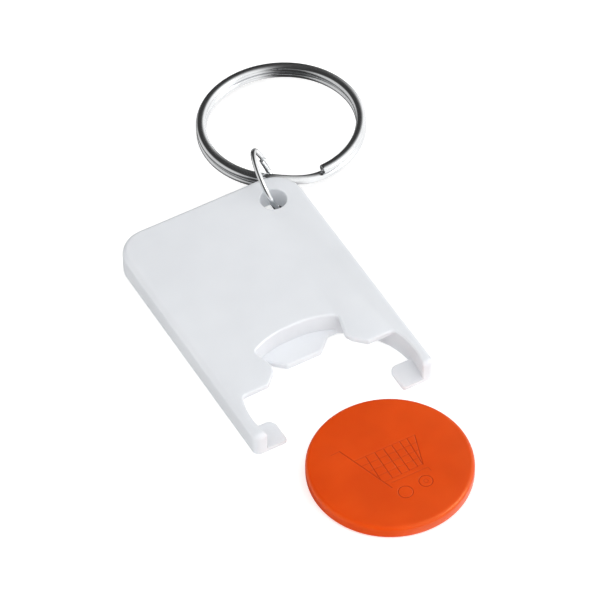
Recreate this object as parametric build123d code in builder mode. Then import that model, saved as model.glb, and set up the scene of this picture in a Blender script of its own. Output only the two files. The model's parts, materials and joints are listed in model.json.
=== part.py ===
# Trolley coin keyring: a moulded coin holder with its token, and two wire rings on its corner hole.
# Millimetres and degrees, +Z up. The origin is under the middle of the whole part, on the surface.
# Places on the holder are measured from its middle line and its front edge, along its own plane.
import os
from math import asin, atan2, cos, degrees, hypot, radians, sin, sqrt
from build123d import *

# Token: a plain moulded disc with rounded edges
token_radius = 11.625
token_thickness = 2.2
token_edge = 0.6
token_setback = 12.12
token_seat_y = 3.55

# Coin holder: the plate, as wide as the pocket and a wall on either side
side_wall = 1.5
holder_length = 42.1
holder_thickness = 4.0
top_edge = 0.8
under_edge = 0.4
front_corner = 1.0
back_corner = 4.5

# Coin holder: the keyring hole, set in from the side and from the back edge
hole_radius = 1.95
hole_side_inset = 4.75
hole_back_inset = 4.5
hole_rim = 0.1
hole_under_rim = 0.6

# Coin holder: the pocket for the token, with a lip below and a lip above the slot
lower_lip = 0.9
token_clearance = 0.05
pocket_play = 0.425
pocket_half_flat = 0.75
pocket_y = 3.45
lip_edge = 0.2

# Coin holder: the two upper tabs, by how far they reach in from the pocket's sides
tab_root_reach = 5.67
tab_waist_reach = 7.0
tab_waist_y = 10.35
tab_turn_reach = 6.5
tab_turn_y = 9.25
tab_nose_reach = 4.8
tab_nose_y = 7.65
tab_round = 0.8
tab_crease = 0.7

# Coin holder: the lower tab between them, by its reach from the pocket's far end
tongue_half = 2.7
tongue_reach = 3.8
tongue_shoulder_half = 4.4
tongue_shoulder_reach = 2.15
tongue_neck_half = 5.0
tongue_root_half = 8.0
tongue_root_reach = 1.5
tongue_round = 0.7

# Coin holder: the two low feet, by their reach from the pocket's sides
foot_reach = 3.6
foot_y = 4.35
foot_round = 1.3
foot_corner = 0.5

# Jump ring: one open turn of round wire through the hole and the split ring
link_wire = 0.8
link_radius = 4.72
link_cut = 0.15
link_out = 1.34
link_back = 4.09
link_turn = -17.8
link_tilt = 22.5
link_cut_turn = 353.0

# Split ring: flat spring wire wound in two turns
ring_outer = 12.4
ring_wire_width = 1.45
ring_wire_height = 0.89
ring_wire_edge = 0.2
ring_turn_gap = 0.42
ring_end_bearing = 271.7
ring_ramp_arc = 40.0
ring_ramp_steps = 4
ring_bearing = 57.40
ring_setout = 5.47
ring_lean = 0.9
ring_lean_bearing = 264.6
ring_lift = 1.2
ring_link_bearing = 231.0
ring_pivot_rise = 0.4

overrun = 1.0

pocket_radius = token_radius + pocket_play
pocket_half = pocket_radius + pocket_half_flat
pocket_end = pocket_y + pocket_radius
holder_width = 2 * (pocket_half + side_wall)
slot_height = token_thickness + 2 * token_clearance
upper_lip = holder_thickness - lower_lip - slot_height
front = -holder_length / 2
hole_x = holder_width / 2 - hole_side_inset
hole_y = holder_length / 2 - hole_back_inset
ring_reach = ring_setout + ring_outer

# The holder rests on its front foot, tipped up by the token that lies in line with its slot.
rise = lower_lip + token_clearance + token_edge - under_edge
run = token_setback + token_radius - token_edge + under_edge
pitch = atan2(rise, run) - asin((token_edge - under_edge) / hypot(rise, run))
foot_drop = under_edge * (sin(pitch) + cos(pitch) - 1)


def holder_place(x, y, z):
    """A place on the holder, y from its front edge and z from its underside, before centring."""
    return Vector(x, y * cos(pitch) - z * sin(pitch), y * sin(pitch) + z * cos(pitch) - foot_drop)


def disc_span(radius, height, edge, normal_share):
    """How far a tilted disc with rounded edges reaches from its centre along one axis."""
    flat = (radius - edge) * sqrt(1 - normal_share**2)
    return flat + (height / 2 - edge) * abs(normal_share) + edge


# Split ring: its height over the surface follows from its lean and the height of its low side.
ring_height = 2 * ring_wire_height + ring_turn_gap
ring_mean = ring_outer - ring_wire_width / 2
lean, lean_bearing = radians(ring_lean), radians(ring_lean_bearing)
ring_normal = Vector(-sin(lean) * cos(lean_bearing), -sin(lean) * sin(lean_bearing), cos(lean))
ring_level = ring_lift + disc_span(ring_outer, ring_height, ring_wire_edge, ring_normal.Z)
hole_middle = holder_place(hole_x, hole_y - front, holder_thickness / 2)
ring_middle = Vector(
    hole_middle.X + ring_reach * cos(radians(ring_bearing)),
    hole_middle.Y + ring_reach * sin(radians(ring_bearing)),
    ring_level,
)

# Centring: the whole part reaches from the holder's side and the token to the split ring.
token_height = lower_lip + token_clearance + token_thickness / 2
token_middle = holder_place(0, -token_setback, token_height)
low_x = -holder_width / 2
high_x = ring_middle.X + disc_span(ring_outer, ring_height, ring_wire_edge, ring_normal.X)
low_y = token_middle.Y - disc_span(token_radius, token_thickness, token_edge, sin(pitch))
high_y = ring_middle.Y + disc_span(ring_outer, ring_height, ring_wire_edge, ring_normal.Y)
centring = Vector(-(low_x + high_x) / 2, -(low_y + high_y) / 2, 0)

slide_axis = Vector(0, cos(pitch), sin(pitch))
holder_up = Vector(0, -sin(pitch), cos(pitch))
holder_plane = Plane(
    origin=holder_place(0, -front, 0) + centring,
    x_dir=(1, 0, 0),
    z_dir=holder_up,
)
holder_axis = Axis(holder_plane.origin, holder_up)


def in_holder(edge):
    """An edge's middle, in the holder's own frame."""
    return holder_plane.to_local_coords(edge.center())


def from_pocket_wall(place):
    """How far a place on the holder lies inside the wall of the pocket."""
    across = max(abs(place.X) - pocket_half_flat, 0)
    return pocket_radius - hypot(across, place.Y - front - pocket_y)


def is_crease(corner):
    """Whether an outline's corner is where a tab meets the pocket's wall."""
    beside = abs(corner.X) > pocket_half_flat + overrun and corner.Y > front
    return beside and abs(from_pocket_wall(corner)) < token_clearance


def on_upper_lip(place):
    """Whether an edge's middle lies round the pocket's mouth, in the holder's top face."""
    in_pocket = from_pocket_wall(place) > -token_clearance and place.Y > front + top_edge
    return in_pocket and abs(place.Z - holder_thickness) < token_clearance


def on_lower_lip(place):
    """Whether an edge's middle lies on the free edge of the tongue or of a foot, on top."""
    in_pocket = from_pocket_wall(place) > token_clearance and place.Y > front + under_edge
    return in_pocket and abs(place.Z - lower_lip) < token_clearance / 2


def on_foot_front(place):
    """Whether an upright edge's middle lies at the front of a foot."""
    return abs(place.Y - front) < token_clearance and place.Z < lower_lip


def across_wire(ring, turn_angle, radius, level):
    """The plane across a ring's wire at an angle round the ring, its x axis pointing outwards."""
    angle = radians(turn_angle)
    spoke = ring.x_dir * cos(angle) + ring.y_dir * sin(angle)
    forward = ring.y_dir * cos(angle) - ring.x_dir * sin(angle)
    return Plane(ring.origin + spoke * radius + ring.z_dir * level, spoke, -forward)


# Coin holder
with BuildPart() as coin_holder:
    with BuildSketch(holder_plane) as outline:
        Rectangle(holder_width, holder_length)
        fillet(outline.vertices().group_by(Axis.Y)[-1], back_corner)
        fillet(outline.vertices().group_by(Axis.Y)[0], front_corner)
    extrude(amount=holder_thickness)
    fillet(coin_holder.faces().sort_by(holder_axis)[-1].edges(), top_edge)
    fillet(coin_holder.faces().sort_by(holder_axis)[0].edges(), under_edge)

    # Lowest level: the tongue and the feet stay, the rest of the pocket is cut through.
    with BuildSketch(holder_plane.offset(-overrun)) as lower_opening:
        with Locations((0, front + pocket_y)):
            SlotCenterToCenter(2 * pocket_half_flat, 2 * pocket_radius)
        with BuildSketch(mode=Mode.PRIVATE) as tongue:
            with BuildLine():
                Polyline(
                    (-tongue_root_half, front + pocket_end),
                    (-tongue_root_half, front + pocket_end - tongue_root_reach),
                    (-tongue_neck_half, front + pocket_end - tongue_root_reach),
                    (-tongue_shoulder_half, front + pocket_end - tongue_shoulder_reach),
                    (-tongue_half, front + pocket_end - tongue_reach),
                    (tongue_half, front + pocket_end - tongue_reach),
                    (tongue_shoulder_half, front + pocket_end - tongue_shoulder_reach),
                    (tongue_neck_half, front + pocket_end - tongue_root_reach),
                    (tongue_root_half, front + pocket_end - tongue_root_reach),
                    (tongue_root_half, front + pocket_end),
                    close=True,
                )
            make_face()
            necks = tongue.vertices().group_by(Axis.Y)[2].sort_by(Axis.X)[1:3]
            fillet(tongue.vertices().group_by(Axis.Y)[0] + necks, tongue_round)
        add(tongue.sketch, mode=Mode.SUBTRACT)
        with BuildSketch(mode=Mode.PRIVATE) as feet:
            foot_width = foot_reach + side_wall
            foot_x = (holder_width - foot_width) / 2
            for side in (-1, 1):
                with Locations((side * foot_x, front + (foot_y - overrun) / 2)):
                    Rectangle(foot_width, foot_y + overrun)
            inner = feet.vertices().group_by(Axis.Y)[-1].sort_by(Axis.X)[1:3]
            fillet(inner, foot_round)
        add(feet.sketch, mode=Mode.SUBTRACT)
    extrude(amount=overrun + lower_lip, mode=Mode.SUBTRACT)

    # Slot level: the token slides in here.
    with BuildSketch(holder_plane.offset(lower_lip)) as slot:
        with Locations((0, front + pocket_y)):
            SlotCenterToCenter(2 * pocket_half_flat, 2 * pocket_radius)
    extrude(amount=slot_height, mode=Mode.SUBTRACT)

    # Top level: two tabs reach over the token.
    with BuildSketch(holder_plane.offset(holder_thickness - upper_lip)) as upper_opening:
        with Locations((0, front + pocket_y)):
            SlotCenterToCenter(2 * pocket_half_flat, 2 * pocket_radius)
        with BuildSketch(mode=Mode.PRIVATE) as tabs:
            for side in (-1, 1):
                with BuildLine():
                    Polyline(
                        (side * (pocket_half - tab_root_reach), front + pocket_end),
                        (side * (pocket_half - tab_waist_reach), front + tab_waist_y),
                        (side * (pocket_half - tab_turn_reach), front + tab_turn_y),
                        (side * (pocket_half - tab_nose_reach), front + tab_nose_y),
                        (side * holder_width / 2, front + tab_nose_y),
                        (side * holder_width / 2, front + pocket_end),
                        close=True,
                    )
                make_face()
            fillet(tabs.vertices().group_by(Axis.Y)[1:3], tab_round)
        add(tabs.sketch, mode=Mode.SUBTRACT)
        fillet([corner for corner in upper_opening.vertices() if is_crease(corner)], tab_crease)
    extrude(amount=upper_lip + overrun, mode=Mode.SUBTRACT)

    # Soft edges round the mouth, on the tabs above and on the tongue and feet below
    chamfer([edge for edge in coin_holder.edges() if on_upper_lip(in_holder(edge))], lip_edge)
    chamfer([edge for edge in coin_holder.edges() if on_lower_lip(in_holder(edge))], lip_edge)

    # Soft corners at the front of the feet
    uprights = coin_holder.edges().filter_by(holder_axis)
    fillet([edge for edge in uprights if on_foot_front(in_holder(edge))], foot_corner)

    # Keyring hole
    with BuildSketch(holder_plane):
        with Locations((hole_x, hole_y)):
            Circle(hole_radius)
    extrude(amount=holder_thickness, mode=Mode.SUBTRACT)
    circles = coin_holder.edges().filter_by(GeomType.CIRCLE)
    rims = [rim for rim in circles if abs(rim.radius - hole_radius) < token_clearance]
    under_rim, upper_rim = sorted(rims, key=lambda rim: in_holder(rim).Z)
    chamfer(under_rim, hole_under_rim)
    chamfer(upper_rim, hole_rim)
coin_holder.part.label = "coin_holder"

# Token
token_plane = Plane(origin=token_middle + centring, x_dir=(1, 0, 0), z_dir=holder_up)
with BuildPart() as token:
    with BuildSketch(token_plane.offset(-token_thickness / 2)):
        Circle(token_radius)
    extrude(amount=token_thickness)
    fillet(token.edges(), token_edge)
token.part.label = "token"

# Jump ring: a torus of wire that stops short at its cut, its lowest side on the surface
turn, tilt = radians(link_turn), radians(link_tilt)
link_upright = sin(turn) * cos(tilt) * sin(pitch) + sin(tilt) * cos(pitch)
link_level = link_radius * sqrt(1 - link_upright**2) + link_wire / 2
link_height = (link_level + foot_drop - (hole_y - front + link_back) * sin(pitch)) / cos(pitch)
link_plane = Plane(
    origin=holder_place(hole_x + link_out, hole_y - front + link_back, link_height) + centring,
    x_dir=holder_plane.x_dir * -sin(turn) + holder_plane.y_dir * cos(turn),
    z_dir=holder_plane.x_dir * cos(turn) * cos(tilt)
    + holder_plane.y_dir * sin(turn) * cos(tilt)
    + holder_plane.z_dir * sin(tilt),
)
link_cut_arc = degrees(link_cut / link_radius)
with BuildPart() as jump_ring:
    with BuildSketch(across_wire(link_plane, link_cut_turn + link_cut_arc / 2, link_radius, 0)):
        Circle(link_wire / 2)
    revolve(axis=Axis(link_plane.origin, link_plane.z_dir), revolution_arc=360 - link_cut_arc)
jump_ring.part.label = "jump_ring"

# Split ring: two level turns, and one stretch that climbs from the lower turn to the upper
ring_plane = Plane(
    origin=ring_middle + centring,
    x_dir=(sin(lean_bearing), -cos(lean_bearing), 0),
    z_dir=ring_normal,
)
ring_end_turn = ring_end_bearing - ring_lean_bearing + 90
turn_step = ring_wire_height + ring_turn_gap
turn_arc = 360 - ring_ramp_arc


def ramp_level(climb):
    """The wire's height along the climb from 0 to 1, level at both ends."""
    return turn_step * (climb**2 * (3 - 2 * climb) - 1 / 2)


with BuildPart() as split_ring:
    for level in (-turn_step / 2, turn_step / 2):
        with BuildSketch(across_wire(ring_plane, ring_end_turn, ring_mean, level)) as wire:
            Rectangle(ring_wire_width, ring_wire_height)
            chamfer(wire.vertices(), ring_wire_edge)
        revolve(axis=Axis(ring_plane.origin, ring_plane.z_dir), revolution_arc=turn_arc)
    for step in range(ring_ramp_steps + 1):
        climb = step / ring_ramp_steps
        turn_angle = ring_end_turn - climb * ring_ramp_arc
        with BuildSketch(across_wire(ring_plane, turn_angle, ring_mean, ramp_level(climb))) as wire:
            Rectangle(ring_wire_width, ring_wire_height)
            chamfer(wire.vertices(), ring_wire_edge)
    loft()
split_ring.part.label = "split_ring"


def winding_place(along):
    """A place on the wire's middle line, at an angle along the winding from its lower end."""
    climb = min(max((along - turn_arc) / ring_ramp_arc, 0), 1)
    angle = radians(ring_end_turn - ring_ramp_arc - along)
    return Vector(ring_mean * cos(angle), ring_mean * sin(angle), ramp_level(climb))


winding = [winding_place(along) for along in range(0, round(2 * turn_arc + ring_ramp_arc) + 1)]
half_turn = 180
least_gap = min(
    (place - other).length - ring_wire_height
    for start, place in enumerate(winding)
    for other in winding[start + half_turn :]
)

os.makedirs("parts", exist_ok=True)
export_step(coin_holder.part, "parts/coin_holder.step")
export_step(token.part, "parts/token.step")
export_step(jump_ring.part, "parts/jump_ring.step")
export_step(split_ring.part, "parts/split_ring.step")

# Where the joints and the interfaces lie, in the part's own frame
link_bearing = radians(ring_link_bearing)
link_crossing = Vector(cos(link_bearing), sin(link_bearing), 0) * ring_mean
ring_pivot = ring_middle + centring + link_crossing + Vector(0, 0, ring_pivot_rise)
ring_pivot_axis = Vector(-sin(link_bearing), cos(link_bearing), 0)
print(f"least gap of the split ring's wire to itself {least_gap:.3f} mm")
print(f"tip of the holder {degrees(pitch):.3f} degrees, slide axis {slide_axis}")
print(f"token travel {token_setback + token_seat_y:.3f} mm")
print(f"hole axis at {hole_middle + centring}")
print(f"split ring pivot at {ring_pivot}, along {ring_pivot_axis}")
print(f"token middle {token_middle + centring}, holder up {holder_up}")
print(f"holder top face middle {holder_plane.from_local_coords(Vector(0, 0, holder_thickness))}")
print(f"split ring middle {ring_middle + centring}, axis {ring_normal}")
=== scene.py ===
# Trolley coin keyring: the looks of the coin holder, its token and its two wire rings.
# Metres in the frame of the solids, +Z up. Sizes are written in millimetres, times mm.
import json
import math

import bmesh
import bpy
from mathutils import Matrix, Quaternion, Vector


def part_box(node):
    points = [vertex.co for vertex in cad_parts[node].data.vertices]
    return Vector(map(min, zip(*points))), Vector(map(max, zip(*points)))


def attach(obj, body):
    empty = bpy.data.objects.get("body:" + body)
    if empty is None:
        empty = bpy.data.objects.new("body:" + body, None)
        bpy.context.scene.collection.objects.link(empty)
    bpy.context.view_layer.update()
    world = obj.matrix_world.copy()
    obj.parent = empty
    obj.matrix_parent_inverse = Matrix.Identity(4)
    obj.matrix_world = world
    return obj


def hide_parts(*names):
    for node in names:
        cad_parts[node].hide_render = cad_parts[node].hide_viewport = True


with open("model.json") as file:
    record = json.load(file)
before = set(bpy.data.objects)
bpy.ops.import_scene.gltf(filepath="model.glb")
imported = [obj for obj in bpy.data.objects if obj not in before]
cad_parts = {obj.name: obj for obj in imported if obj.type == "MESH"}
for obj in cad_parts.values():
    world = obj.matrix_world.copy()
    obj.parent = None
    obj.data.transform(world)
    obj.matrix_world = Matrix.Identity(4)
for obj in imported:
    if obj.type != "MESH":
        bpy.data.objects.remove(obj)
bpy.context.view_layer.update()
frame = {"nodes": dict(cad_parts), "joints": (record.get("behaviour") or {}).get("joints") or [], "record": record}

mm = 0.001
merge_distance = 0.0005 * mm
full_turn = 2 * math.pi

mounts = {mount["name"]: mount for mount in frame["record"]["mounts"]}
joints = {joint["name"]: joint for joint in frame["joints"]}


def middle(node):
    """The middle of a solid's box."""
    low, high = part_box(node)
    return (low + high) / 2


def placed(origin, x_axis, y_axis, z_axis):
    """The matrix that carries a piece from its own axes to its place."""
    matrix = Matrix((x_axis, y_axis, z_axis)).transposed().to_4x4()
    matrix.translation = origin
    return matrix


# The holder lies tipped a little, and the token lies in line with its slot.
across = Vector((1, 0, 0))
slide = Vector(joints["token_slide"]["axis"]).normalized()
holder_up = across.cross(slide)

# Camera: its place and its aim
camera_spot = Vector((-226.467, -427.05, 517.27)) * mm
camera_azimuth = math.radians(-27.485)
camera_elevation = math.radians(46.912)
camera_roll = math.radians(-2.603)
camera_lens = 300
camera_sensor = 36


def camera_back():
    """The direction from the object to the camera."""
    level = math.cos(camera_elevation)
    return Vector(
        (
            math.sin(camera_azimuth) * level,
            -math.cos(camera_azimuth) * level,
            math.sin(camera_elevation),
        )
    )


def make_camera():
    """The camera of the photograph, turned to the object and rolled a little."""
    data = bpy.data.cameras.new("camera")
    data.lens = camera_lens
    data.sensor_width = camera_sensor
    camera = bpy.data.objects.new("camera", data)
    bpy.context.scene.collection.objects.link(camera)
    camera.location = camera_spot
    camera.rotation_mode = "QUATERNION"
    level = (-camera_back()).to_track_quat("-Z", "Y")
    camera.rotation_quaternion = level @ Quaternion((0, 0, 1), camera_roll)
    bpy.context.scene.camera = camera


# Shader nodes
def feed(tree, socket, value):
    """Sets an input to a value, or links it to another node's output."""
    if isinstance(value, bpy.types.NodeSocket):
        tree.links.new(value, socket)
    else:
        socket.default_value = value


def add_node(tree, kind, inputs=None, **settings):
    """A node with its settings, and its inputs by name or number: values or nodes' outputs."""
    node = tree.nodes.new(kind)
    for key, value in settings.items():
        setattr(node, key, value)
    for socket, value in (inputs or {}).items():
        feed(tree, node.inputs[socket], value)
    return node


def math_of(tree, operation, *inputs, **settings):
    """The result of a math node."""
    numbered = dict(enumerate(inputs))
    return add_node(tree, "ShaderNodeMath", numbered, operation=operation, **settings).outputs[0]


def range_of(tree, value, source=(0, 1), target=(0, 1), **settings):
    """A value carried over from one range to another, and kept inside it."""
    inputs = {"Value": value}
    inputs |= {"From Min": source[0], "From Max": source[1]}
    inputs |= {"To Min": target[0], "To Max": target[1]}
    return add_node(tree, "ShaderNodeMapRange", inputs, **settings).outputs["Result"]


def mix_of(tree, factor, low, high):
    """A colour between two others."""
    inputs = {"Factor": factor, "A": low, "B": high}
    return add_node(tree, "ShaderNodeMix", inputs, data_type="RGBA").outputs["Result"]


def new_group(name, inputs, outputs):
    """A shader node group with float inputs and outputs, and its two end nodes."""
    group = bpy.data.node_groups.new(name, "ShaderNodeTree")
    for side, labels in (("INPUT", inputs), ("OUTPUT", outputs)):
        for label in labels:
            group.interface.new_socket(name=label, in_out=side, socket_type="NodeSocketFloat")
    return group, group.nodes.new("NodeGroupInput"), group.nodes.new("NodeGroupOutput")


# Surface: how fine the grain and the tone are, where tone and marks set in, and which way marks run
height_detail = 4.0
tone_detail = 2.0
tone_range = (0.35, 0.65)
mark_lean = (0.3, 0.2)
mark_turns = (0.5, 2.1)
mark_stretches = (0.05, 0.08)
mark_detail = 3.0
mark_break_up = 0.65
mark_range = (0.64, 0.7)
groove_layer = "groove"
groove_dullness = 0.6


def make_grain_group():
    """Moulding grain: a fine height for bump, and a slow change of tone over the surface."""
    sizes, results = ("Grain size", "Tone size"), ("Height", "Tone")
    group, start, end = new_group("moulding grain", sizes, results)
    place = add_node(group, "ShaderNodeTexCoord").outputs["Object"]
    for size, result, detail in zip(sizes, results, (height_detail, tone_detail)):
        scale = math_of(group, "DIVIDE", 1 / mm, start.outputs[size])
        inputs = {"Vector": place, "Scale": scale, "Detail": detail}
        noise = add_node(group, "ShaderNodeTexNoise", inputs)
        feed(group, end.inputs[result], noise.outputs["Fac"])
    return group


def make_marks_group():
    """Handling marks: sparse hairlines in two directions, from 0 where clean to 1 in a mark."""
    group, start, end = new_group("handling marks", ("Spacing", "Amount"), ("Mark",))
    place = add_node(group, "ShaderNodeTexCoord").outputs["Object"]
    scale = math_of(group, "DIVIDE", 1 / mm, start.outputs["Spacing"])
    lines = []
    for turn, stretch in zip(mark_turns, mark_stretches):
        inputs = {"Vector": place, "Rotation": (*mark_lean, turn), "Scale": (1, stretch, 1)}
        turned = add_node(group, "ShaderNodeMapping", inputs).outputs[0]
        inputs = {"Vector": turned, "Scale": scale}
        inputs |= {"Detail": mark_detail, "Roughness": mark_break_up}
        noise = add_node(group, "ShaderNodeTexNoise", inputs)
        lines.append(range_of(group, noise.outputs["Fac"], mark_range))
    both = math_of(group, "MAXIMUM", *lines)
    mark = math_of(group, "MULTIPLY", both, start.outputs["Amount"], use_clamp=True)
    feed(group, end.inputs["Mark"], mark)
    return group


grain_group = make_grain_group()
marks_group = make_marks_group()


def finish_of(name, low, high, rough, grain, marks, bump, painted_groove_shade=None, **shader_values):
    """A finish whose colour runs from low to high, with grain and handling marks of its own size.

    rough is the roughness where clean and in a mark, grain is its size and the tone's, marks is
    their spacing and amount, and bump is the height of the grain; lengths are in millimetres.
    painted_groove_shade is a painted shade: the darker colour put on the floor of an engraved line, which is
    duller too."""
    material = bpy.data.materials.new(name)
    material.use_nodes = True
    tree = material.node_tree
    grain_sizes = {"Grain size": grain[0], "Tone size": grain[1]}
    grained = add_node(tree, "ShaderNodeGroup", grain_sizes, node_tree=grain_group)
    mark_sizes = {"Spacing": marks[0], "Amount": marks[1]}
    marked = add_node(tree, "ShaderNodeGroup", mark_sizes, node_tree=marks_group)

    tone = range_of(tree, grained.outputs["Tone"], tone_range)
    colour = mix_of(tree, tone, (*low, 1), (*high, 1))
    polish = range_of(tree, marked.outputs["Mark"], target=rough)
    if painted_groove_shade:
        depth = add_node(tree, "ShaderNodeAttribute", attribute_name=groove_layer).outputs["Fac"]
        # Painted shade: the engraved line's floor gets a darker colour by its depth, standing in for the shade in
        # it.
        colour = mix_of(tree, depth, colour, (*painted_groove_shade, 1))
        polish = math_of(tree, "MULTIPLY_ADD", depth, groove_dullness, polish)
    relief = math_of(tree, "MULTIPLY_ADD", marked.outputs["Mark"], -1, grained.outputs["Height"])
    dents = {"Strength": 1, "Distance": bump * mm, "Height": relief}
    normal = add_node(tree, "ShaderNodeBump", dents).outputs["Normal"]

    shader = tree.nodes["Principled BSDF"]
    shader_values |= {"Base_Color": colour, "Roughness": polish, "Normal": normal}
    for socket, value in shader_values.items():
        feed(tree, shader.inputs[socket.replace("_", " ")], value)
    return material


def make_finishes():
    """The four finishes, by the record's slots."""
    return {
        "white_plastic": finish_of(
            "white moulded plastic",
            low=(0.78, 0.80, 0.83),
            high=(0.81, 0.83, 0.86),
            rough=(0.36, 0.5),
            grain=(0.15, 9.0),
            marks=(0.6, 0.3),
            bump=0.004,
            Subsurface_Weight=0.45,
            Subsurface_Radius=(1.0, 1.0, 1.0),
            Subsurface_Scale=0.5 * mm,
            IOR=1.49,
        ),
        "orange_plastic": finish_of(
            "orange moulded plastic",
            low=(0.72, 0.062, 0.003),
            high=(0.79, 0.074, 0.004),
            rough=(0.34, 0.46),
            grain=(0.13, 7.0),
            marks=(0.6, 0.3),
            bump=0.004,
            # The darker colour painted on the engraved drawing's floor as its shade.
            painted_groove_shade=(0.42, 0.022, 0.002),
            Subsurface_Weight=0.4,
            Subsurface_Radius=(1.0, 0.75, 0.2),
            Subsurface_Scale=1.0 * mm,
            Specular_Tint=(1.0, 0.95, 0.4, 1.0),
            IOR=1.5,
        ),
        "plated_wire": finish_of(
            "plated wire",
            low=(0.70, 0.71, 0.72),
            high=(0.77, 0.78, 0.79),
            rough=(0.14, 0.3),
            grain=(0.2, 3.0),
            marks=(0.3, 0.35),
            bump=0.002,
            Metallic=1.0,
        ),
        "plated_spring_wire": finish_of(
            "plated spring wire",
            low=(0.68, 0.69, 0.70),
            high=(0.76, 0.77, 0.78),
            rough=(0.17, 0.34),
            grain=(0.25, 4.0),
            marks=(0.35, 0.4),
            bump=0.002,
            Metallic=1.0,
        ),
    }


def make_piece(name, bm, matrix, node, finish, sharp_angle):
    """A piece from a mesh in its own axes: merged, put in place, faces outwards, on its body.

    Edges that turn by more than sharp_angle degrees stay sharp in its shading."""
    bmesh.ops.remove_doubles(bm, verts=bm.verts, dist=merge_distance)
    bmesh.ops.transform(bm, matrix=matrix, verts=bm.verts)
    bmesh.ops.recalc_face_normals(bm, faces=bm.faces)
    mesh = bpy.data.meshes.new(name)
    bm.to_mesh(mesh)
    bm.free()
    mesh.shade_smooth()
    mesh.set_sharp_from_angle(angle=math.radians(sharp_angle))
    mesh.materials.append(finishes[finish])
    piece = bpy.data.objects.new(name, mesh)
    bpy.context.scene.collection.objects.link(piece)
    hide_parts(node)
    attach(piece, node)
    return piece


def open_edges(bm):
    """The edges round a mesh's holes."""
    return [edge for edge in bm.edges if edge.is_boundary]


def only(kind, items):
    """The items of one kind, such as the edges of a wire's section."""
    return [item for item in items if isinstance(item, kind)]


# Token: its radius and its rim's straight wall from its mount, and the rounding over and under it
token_rim = mounts["token_rim"]["dims"]
token_radius = token_rim["r_mm"] * mm
token_edge = 0.6 * mm
token_thickness = token_rim["length_mm"] * mm + 2 * token_edge
token_spin_steps = 720
token_arc_steps = 8
token_sharp_angle = 60

groove_width = 0.22 * mm
groove_depth = 0.05 * mm
drawing_middle = Vector((-0.55, -0.6)) * mm
drawing_size = Vector((12.8, 12.8)) * mm
drawing_spacing = 0.048 * mm

# The drawing's places, in millimetres from the token's middle, and the depth of its faint strokes
rim_line = ((-4.2, 2.6), (5.35, 2.5))
floor_line = ((-2.5, -2.6), (3.75, -2.5))
bar_tops = (-2.4, -0.95, 0.4, 1.7, 2.95, 4.1)
bar_feet = (-2.65, -1.1, 0.35, 1.6, 2.9, 3.7)
first_bar_foot = -1.9
basket_bands = 3
handle = ((-6.4, 5.05), (-5.05, 5.1), (-2.0, -4.0))
undercarriage = ((-1.6, -3.2), (4.05, -3.3), (4.15, -4.0))
wheel_middles = ((-0.75, -5.55), (2.6, -5.25))
wheel_radii = (1.02, 0.96)
hub_radius = 0.3
faint = 0.45


def between(line, share):
    """A point on a line, at a share of its length."""
    start, end = Vector(line[0]), Vector(line[1])
    return start.lerp(end, share)


def trolley_drawing():
    """The strokes and circles of a plain shopping trolley, each with its share of the depth."""
    front_line = (rim_line[1], floor_line[1])
    back_line = (rim_line[0], floor_line[0])
    deep_strokes = [front_line, handle[1:]]
    for top, foot in zip(bar_tops, bar_feet):
        low = first_bar_foot if top == bar_tops[0] else floor_line[1][1]
        deep_strokes.append(((top, rim_line[1][1]), (foot, low)))
    faint_strokes = [rim_line, floor_line, handle[:2], *zip(undercarriage, undercarriage[1:])]
    for band in range(1, basket_bands + 1):
        share = band / (basket_bands + 1)
        faint_strokes.append((between(back_line, share), between(front_line, share)))
    lines = [
        (Vector(start) * mm, Vector(end) * mm, depth)
        for strokes, depth in ((deep_strokes, 1), (faint_strokes, faint))
        for start, end in strokes
    ]
    wheels = [(*wheel, 1) for wheel in zip(wheel_middles, wheel_radii)]
    wheels.append((wheel_middles[1], hub_radius, faint))
    return lines, [(Vector(centre) * mm, radius * mm, depth) for centre, radius, depth in wheels]


def groove_at(place, lines, circles):
    """How deep the drawing is cut at a place on the token's face, from 0 to 1."""
    strokes = [(abs((place - centre).length - radius), depth) for centre, radius, depth in circles]
    for start, end, depth in lines:
        run = end - start
        share = (place - start).dot(run) / run.length_squared
        strokes.append(((place - start - run * min(max(share, 0), 1)).length, depth))
    half = groove_width / 2
    return max(depth * (1 + math.cos(math.pi * min(away / half, 1))) / 2 for away, depth in strokes)


def engrave(bm):
    """Lowers the upper face along the drawing's strokes, in a groove with a round floor."""
    lines, circles = trolley_drawing()
    layer = bm.verts.layers.float.new(groove_layer)
    top = token_thickness / 2 - merge_distance
    for vert in [vert for vert in bm.verts if vert.co.z > top]:
        vert[layer] = groove_at(vert.co.xy, lines, circles)
        vert.co.z -= groove_depth * vert[layer]


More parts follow.
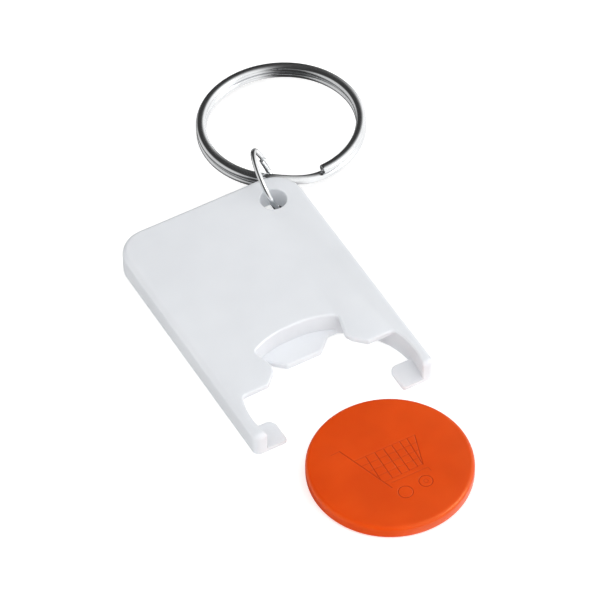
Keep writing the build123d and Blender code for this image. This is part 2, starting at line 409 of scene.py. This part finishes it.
def make_token():
    """A disc spun from its half outline, with a fine grid in its upper face that is engraved."""
    bm = bmesh.new()
    flat, rim = token_radius - token_edge, token_thickness / 2 - token_edge
    outline = [Vector((0, 0, -token_thickness / 2)), Vector((flat, 0, -token_thickness / 2))]
    for side, first in ((-1, -90), (1, 0)):
        for step in range(1 if side < 0 else 0, token_arc_steps + 1):
            angle = math.radians(first + 90 * step / token_arc_steps)
            out, rise = token_edge * math.cos(angle), token_edge * math.sin(angle)
            outline.append(Vector((flat + out, 0, side * rim + rise)))
    verts = [bm.verts.new(spot) for spot in outline]
    edges = [bm.edges.new(pair) for pair in zip(verts, verts[1:])]
    bmesh.ops.spin(
        bm,
        geom=verts + edges,
        cent=(0, 0, 0),
        axis=(0, 0, 1),
        angle=full_turn,
        steps=token_spin_steps,
        use_merge=True,
    )
    bmesh.ops.remove_doubles(bm, verts=bm.verts, dist=merge_distance)
    face_ring = open_edges(bm)
    # The grid is a square of side 1, stretched to the drawing's size.
    middle_of_face = Matrix.Translation((*drawing_middle, token_thickness / 2))
    bmesh.ops.create_grid(
        bm,
        x_segments=round(drawing_size.x / drawing_spacing),
        y_segments=round(drawing_size.y / drawing_spacing),
        size=0.5,
        matrix=middle_of_face @ Matrix.Diagonal((*drawing_size, 1, 1)),
    )
    patch_ring = [edge for edge in open_edges(bm) if edge not in set(face_ring)]
    bmesh.ops.triangle_fill(bm, edges=face_ring + patch_ring, use_beauty=True)
    engrave(bm)
    place = placed(middle("token"), across, slide, holder_up)
    return make_piece("orange_token", bm, place, "token", "orange_plastic", token_sharp_angle)


# Coin holder: the solid with its edges rounded as they leave the mould. Angles are in degrees.
holder_flat_angle = 0.5
holder_edge_angle = 30
holder_round = 0.13 * mm
holder_round_steps = 3
holder_sharp_angle = 180


def make_holder():
    """The solid's mesh with its flat faces merged, and a live bevel on its edges."""
    bm = bmesh.new()
    bm.from_mesh(frame["nodes"]["coin_holder"].data)
    bmesh.ops.remove_doubles(bm, verts=bm.verts, dist=merge_distance)
    flat_angle = math.radians(holder_flat_angle)
    bmesh.ops.dissolve_limit(bm, angle_limit=flat_angle, verts=bm.verts, edges=bm.edges)
    place = Matrix.Identity(4)
    piece = make_piece(
        "white_holder", bm, place, "coin_holder", "white_plastic", holder_sharp_angle
    )
    rounds = piece.modifiers.new("rounds", "BEVEL")
    rounds.limit_method = "ANGLE"
    rounds.angle_limit = math.radians(holder_edge_angle)
    rounds.width = holder_round
    rounds.segments = holder_round_steps
    rounds.harden_normals = True
    return piece


# Wires, their sharp angle in degrees
wire_sharp_angle = 40


def wire_section(bm, width, height, squareness, points, radius):
    """A closed wire section standing on the X axis at its ring's radius.

    A squareness of 2 makes it an ellipse, and more than that fills its corners out."""
    made = bmesh.ops.create_circle(bm, segments=points, radius=1)
    power = 2 / squareness
    for vert in made["verts"]:
        x, y = vert.co.x, vert.co.y
        wide = math.copysign(abs(x) ** power, x) * width / 2
        high = math.copysign(abs(y) ** power, y) * height / 2
        vert.co = Vector((radius + wide, 0, high))
    return made["verts"] + list({edge for vert in made["verts"] for edge in vert.link_edges})


def wind(bm, section, angle, steps, climb=0):
    """Carries a section on round the Z axis, climbing on the way, and gives its last place."""
    wound = bmesh.ops.spin(
        bm,
        geom=section,
        cent=(0, 0, 0),
        axis=(0, 0, 1),
        dvec=(0, 0, climb / steps),
        angle=angle,
        steps=steps,
    )
    return wound["geom_last"]


def close_end(bm, ring, forward, chamfer, shrink):
    """Closes the wire's end with a small chamfer round a flat cut."""
    edges = only(bmesh.types.BMEdge, ring)
    step = bmesh.ops.extrude_edge_only(bm, edges=edges)["geom"]
    verts = only(bmesh.types.BMVert, step)
    centre = sum((vert.co for vert in verts), Vector()) / len(verts)
    for vert in verts:
        vert.co = centre + (vert.co - centre) * shrink + forward * chamfer
    bmesh.ops.edgeloop_fill(bm, edges=only(bmesh.types.BMEdge, step))


def heading(bearing):
    """The direction that a clockwise winding travels in at a bearing round the Z axis."""
    return Vector((math.sin(bearing), -math.cos(bearing), 0))


# Split ring: its middle, tilt, inside and height from its mount, wound clockwise as it climbs
ring_mount = mounts["key_loop"]
ring_middle = Vector(ring_mount["pos_m"])
ring_up = Vector(ring_mount["axis"]).normalized()
ring_wire_width = 1.45 * mm
ring_radius = ring_mount["dims"]["r_mm"] * mm + ring_wire_width / 2
ring_height = ring_mount["dims"]["length_mm"] * mm
ring_turn_gap = 0.06 * mm
ring_wire_height = (ring_height - ring_turn_gap) / 2
ring_squareness = 2.5
ring_points = 40
ring_end_bearing = math.radians(271.7)
ring_ramp = math.radians(40)
ring_ramp_steps = 24
ring_turn_steps = 300
ring_end_chamfer = 0.08 * mm
ring_end_shrink = 0.88


def ramp_rise(share):
    """How much of the climb is done at a share of the ramp, level at both ends."""
    return share**2 * (3 - 2 * share)


def make_split_ring():
    """A lower turn, the ramp up and an upper turn, wound on from one section, with cut ends."""
    bm = bmesh.new()
    climb = ring_wire_height + ring_turn_gap
    section = wire_section(
        bm, ring_wire_width, ring_wire_height, ring_squareness, ring_points, ring_radius
    )
    first_bearing = ring_end_bearing - ring_ramp
    start = Matrix.Translation((0, 0, -climb / 2)) @ Matrix.Rotation(first_bearing, 4, "Z")
    bmesh.ops.transform(bm, matrix=start, verts=only(bmesh.types.BMVert, section))
    close_end(bm, section, -heading(first_bearing), ring_end_chamfer, ring_end_shrink)
    section = wind(bm, section, ring_ramp - full_turn, ring_turn_steps)
    for step in range(ring_ramp_steps):
        rise = ramp_rise((step + 1) / ring_ramp_steps) - ramp_rise(step / ring_ramp_steps)
        section = wind(bm, section, -ring_ramp / ring_ramp_steps, 1, climb * rise)
    section = wind(bm, section, ring_ramp - full_turn, ring_turn_steps)
    close_end(bm, section, heading(ring_end_bearing), ring_end_chamfer, ring_end_shrink)
    turned = Vector((0, 0, 1)).rotation_difference(ring_up).to_matrix().to_4x4()
    place = Matrix.Translation(ring_middle) @ turned
    return make_piece("key_ring", bm, place, "split_ring", "plated_spring_wire", wire_sharp_angle)


# Jump ring: one open turn of round wire, its ends a little out of line
link_wire = 0.8 * mm
link_radius = 4.72 * mm
link_turn = math.radians(-17.8)
link_tilt = math.radians(22.5)
link_cut_turn = math.radians(353)
link_cut = 0.15 * mm
link_steps = 260
link_points = 32
link_squareness = 2
link_offset = 0.17 * mm
link_offset_arc = math.radians(20)
link_end_chamfer = 0.06 * mm
link_end_shrink = 0.84


def make_jump_ring():
    """One turn of wire between cut ends, which part to either side near the cut."""
    bm = bmesh.new()
    section = wire_section(bm, link_wire, link_wire, link_squareness, link_points, link_radius)
    cut_arc = link_cut / link_radius
    first = link_cut_turn + cut_arc
    start = Matrix.Rotation(first, 4, "Z")
    bmesh.ops.transform(bm, matrix=start, verts=only(bmesh.types.BMVert, section))
    close_end(bm, section, heading(first), link_end_chamfer, link_end_shrink)
    section = wind(bm, section, full_turn - cut_arc, link_steps)
    close_end(bm, section, -heading(link_cut_turn), link_end_chamfer, link_end_shrink)
    for vert in bm.verts:
        past = (math.atan2(vert.co.y, vert.co.x) - link_cut_turn - cut_arc / 2) % full_turn
        past = past if past < math.pi else past - full_turn
        vert.co.z += math.copysign(link_offset * math.exp(-abs(past) / link_offset_arc), past)
    outwards = across * math.cos(link_turn) + slide * math.sin(link_turn)
    axis = outwards * math.cos(link_tilt) + holder_up * math.sin(link_tilt)
    forwards = slide * math.cos(link_turn) - across * math.sin(link_turn)
    place = placed(middle("jump_ring"), forwards, axis.cross(forwards), axis)
    return make_piece("wire_link", bm, place, "jump_ring", "plated_wire", wire_sharp_angle)


# Studio: a pale floor, a light for the glints, two for the shading, and a room with a dark middle
floor_half = 0.6
floor_cells = 4
floor_tone = 0.9
floor_roughness = 0.9
floor_glow = 0.45
floor_bounce = 0.2
key_size = 0.45
key_power = 3.0
key_from = Vector((0.60, -0.42, 0.42))
fill_size = 0.8
fill_power = 3.2
fill_from = Vector((-0.42, -0.20, 0.70))
front_size = 0.6
front_power = 1.3
front_from = Vector((0.06, -0.74, 0.45))
room_right = 1.2
room_left = 0.8
room_dark = 0.05
room_edge_right = (0.16, 0.6)
room_edge_left = (-0.35, -0.85)
room_lift = 0.25


def make_floor():
    """A floor that the camera sees as white paper, and that the rings don't mirror."""
    bm = bmesh.new()
    cells = {"x_segments": floor_cells, "y_segments": floor_cells}
    bmesh.ops.create_grid(bm, size=floor_half, **cells)
    mesh = bpy.data.meshes.new("floor")
    bm.to_mesh(mesh)
    bm.free()
    floor = bpy.data.objects.new("floor", mesh)
    bpy.context.scene.collection.objects.link(floor)
    material = bpy.data.materials.new("pale floor")
    material.use_nodes = True
    tree = material.node_tree
    shader = tree.nodes["Principled BSDF"]
    seen = add_node(tree, "ShaderNodeLightPath").outputs["Is Camera Ray"]
    values = {
        "Base Color": (floor_tone, floor_tone, floor_tone, 1),
        "Roughness": floor_roughness,
        "Specular IOR Level": 0,
        "Emission Color": (1, 1, 1, 1),
        "Emission Strength": range_of(tree, seen, target=(floor_bounce, floor_glow)),
    }
    for socket, value in values.items():
        feed(tree, shader.inputs[socket], value)
    mesh.materials.append(material)
    floor.visible_glossy = False


def make_light(name, size, power, spot, mirrored):
    """A round soft light turned to the object, that only gives glints, or gives all but glints."""
    data = bpy.data.lights.new(name, "AREA")
    data.shape = "DISK"
    data.size = size
    data.energy = power
    light = bpy.data.objects.new(name, data)
    bpy.context.scene.collection.objects.link(light)
    light.location = spot
    light.rotation_mode = "QUATERNION"
    light.rotation_quaternion = (-spot).to_track_quat("-Z", "Y")
    light.visible_glossy = mirrored
    light.visible_diffuse = not mirrored


def make_room():
    """A room that is bright on the right and dimmer on the left, with a dark band between them."""
    world = bpy.data.worlds.new("room")
    bpy.context.scene.world = world
    world.use_nodes = True
    tree = world.node_tree
    ray = add_node(tree, "ShaderNodeTexCoord").outputs["Generated"]
    unsigned = add_node(tree, "ShaderNodeVectorMath", {0: ray}, operation="ABSOLUTE").outputs[0]
    right = (math.cos(camera_azimuth), math.sin(camera_azimuth), 0)
    parts = [
        add_node(tree, "ShaderNodeVectorMath", {0: way, 1: share}, operation="DOT_PRODUCT")
        for way, share in ((ray, right), (unsigned, (0, 0, room_lift)))
    ]
    side = math_of(tree, "ADD", *(part.outputs["Value"] for part in parts))
    wings = [
        range_of(tree, side, edge, (0, strength), interpolation_type="SMOOTHSTEP")
        for edge, strength in ((room_edge_right, room_right), (room_edge_left, room_left))
    ]
    strength = math_of(tree, "ADD", math_of(tree, "ADD", *wings), room_dark)
    back = tree.nodes["Background"]
    back.inputs["Color"].default_value = (1, 1, 1, 1)
    feed(tree, back.inputs["Strength"], strength)


make_camera()
finishes = make_finishes()
make_holder()
make_token()
make_split_ring()
make_jump_ring()
make_floor()
make_light("key", key_size, key_power, key_from, mirrored=True)
make_light("fill", fill_size, fill_power, fill_from, mirrored=False)
make_light("front", front_size, front_power, front_from, mirrored=False)
make_room()
bpy.context.scene.view_settings.view_transform = "Standard"
